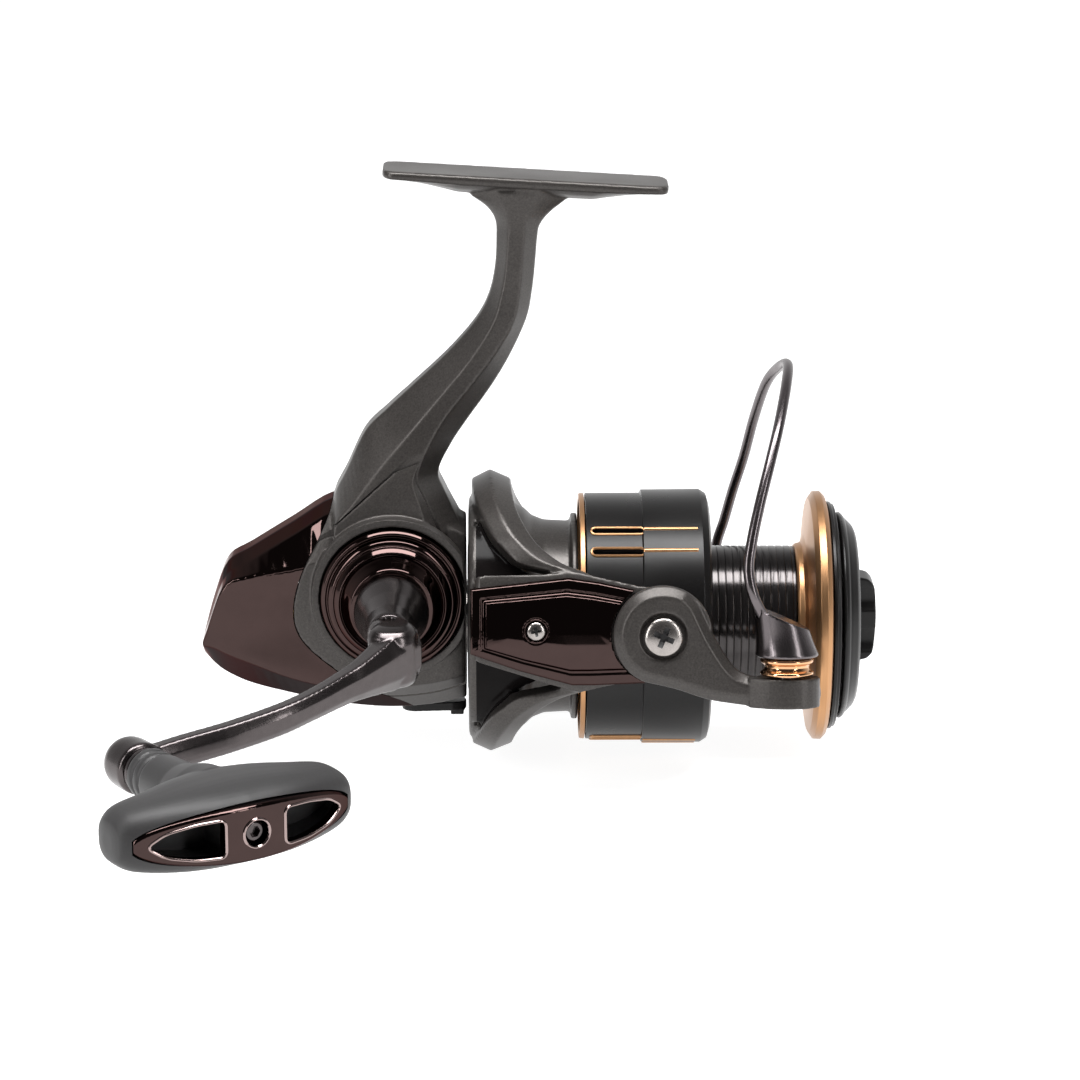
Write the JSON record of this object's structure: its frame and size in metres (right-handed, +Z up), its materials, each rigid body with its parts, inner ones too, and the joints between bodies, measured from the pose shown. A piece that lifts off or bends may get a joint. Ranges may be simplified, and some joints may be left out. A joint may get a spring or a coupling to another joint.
{
  "type": "spinning fishing reel",
  "caption": "Front-drag spinning fishing reel with stem and foot, turning rotor with folding bail, sliding spool, drag knob and folding crank with a T-bar knob.",
  "frame": {"origin": "middle of the foot's flat seat, where the reel meets the rod", "axes": "+X forward along the spool axis, +Z up towards the rod, the crank is on the -Y side; the seat's normal leans 3.4 degrees from +Z towards +X"},
  "size_m": [0.1585, 0.1793, 0.1276],
  "materials": {
    "gunmetal": "satin metallic paint",
    "black_chrome": "smoked high gloss plating",
    "dark_steel": "dark polished plating",
    "satin_black": "satin black anodised",
    "gold": "copper gold anodised",
    "steel": "bright steel",
    "brass": "machined",
    "soft_grip": "matte soft touch",
    "drag_felt": "felt",
    "black_plastic": "matte"
  },
  "bodies": {
    "body": {"body_frame": "gunmetal", "rear_cover": "black_chrome", "side_cover": "gunmetal", "ring_cap": "black_chrome", "far_side_cap": "black_chrome", "drive_bearing_near": "steel", "drive_bearing_far": "steel", "body_screw_1": "steel", "body_screw_2": "steel", "body_screw_3": "steel", "clutch_housing": "black_plastic", "roller_clutch": "steel", "pinion_bearing": "steel", "worm_bush_front": "brass", "worm_bush_rear": "brass", "guide_rod_near": "steel", "guide_rod_far": "steel"},
    "stop_lever": {"anti_reverse_lever": "satin_black"},
    "drive": {"drive_gear": "brass", "handle_cone": "dark_steel"},
    "crank": {"handle_arm": "dark_steel", "fold_pin": "steel", "knob_axle": "steel", "knob_collar": "steel", "knob_screw": "steel"},
    "grip": {"knob": "soft_grip", "knob_inlay": "black_chrome", "knob_bearing_inner": "brass", "knob_bearing_outer": "brass"},
    "rotor_group": {"rotor": "gunmetal", "rotor_nut": "steel", "pinion_gear": "brass", "arm_cover_near": "black_chrome", "arm_cover_far": "black_chrome", "cover_screw_near": "steel", "cover_screw_far": "steel", "pivot_screw_near": "steel", "pivot_screw_far": "steel", "bail_spring": "steel"},
    "bail": {"bail_arm_near": "gunmetal", "bail_arm_far": "gunmetal", "bail_wire": "dark_steel", "roller_cover": "gunmetal", "roller_screw": "steel"},
    "roller": {"line_roller": "gold"},
    "carriage": {"main_shaft": "steel", "crosswind_block": "brass", "pawl": "steel", "click_ring": "steel"},
    "spool_group": {"spool": "satin_black", "spool_band": "gold", "spool_lip": "gold", "drag_seal_plate": "satin_black", "drag_felt_inner": "drag_felt", "drag_plate": "steel", "drag_felt_outer": "drag_felt"},
    "drag_dial": {"drag_knob": "satin_black"},
    "worm": {"worm_gear": "brass", "worm_shaft": "steel"}
  },
  "joints": [
    {"name": "drive_spin", "type": "hinge", "parent": "body", "child": "drive", "pos_m": [-0.0284, 0, -0.0881], "axis": [0, 1, 0], "continuous": true},
    {"name": "rotor_spin", "type": "hinge", "parent": "body", "child": "rotor_group", "pos_m": [0, 0, -0.0969], "axis": [1, 0, 0], "continuous": true},
    {"name": "worm_spin", "type": "hinge", "parent": "body", "child": "worm", "pos_m": [-0.03, 0, -0.1049], "axis": [1, 0, 0], "continuous": true},
    {"name": "handle_fold", "type": "hinge", "parent": "drive", "child": "crank", "pos_m": [-0.0284, -0.0495, -0.0881], "axis": [0, 0, 1], "range_deg": [-33.7, 40]},
    {"name": "knob_spin", "type": "hinge", "parent": "crank", "child": "grip", "pos_m": [-0.07726, -0.09158, -0.0991], "axis": [0.5548, -0.832, 0], "continuous": true},
    {"name": "bail_flip", "type": "hinge", "parent": "rotor_group", "child": "bail", "pos_m": [0.0282, 0, -0.0969], "axis": [0, 0.9848, -0.1736], "range_deg": [0, 100]},
    {"name": "roller_spin", "type": "hinge", "parent": "bail", "child": "roller", "pos_m": [0.0539, -0.03545, -0.09065], "axis": [0, 0.1736, 0.9848], "continuous": true},
    {"name": "spool_stroke", "type": "slide", "parent": "body", "child": "carriage", "axis": [1, 0, 0], "range_m": [-0.004, 0.007]},
    {"name": "spool_spin", "type": "hinge", "parent": "carriage", "child": "spool_group", "pos_m": [0.03, 0, -0.0969], "axis": [1, 0, 0], "continuous": true},
    {"name": "drag_turn", "type": "hinge", "parent": "carriage", "child": "drag_dial", "pos_m": [0.07, 0, -0.0969], "axis": [1, 0, 0], "range_deg": [-180, 180]},
    {"name": "stop_lever_turn", "type": "hinge", "parent": "body", "child": "stop_lever", "pos_m": [-0.024, 0, -0.1165], "axis": [0, 0, 1], "range_deg": [-14, 14]}
  ],
  "couplings": [
    {"joint": "rotor_spin", "follows": "drive_spin", "ratio": 5},
    {"joint": "worm_spin", "follows": "drive_spin", "ratio": -4.6875}
  ]
}
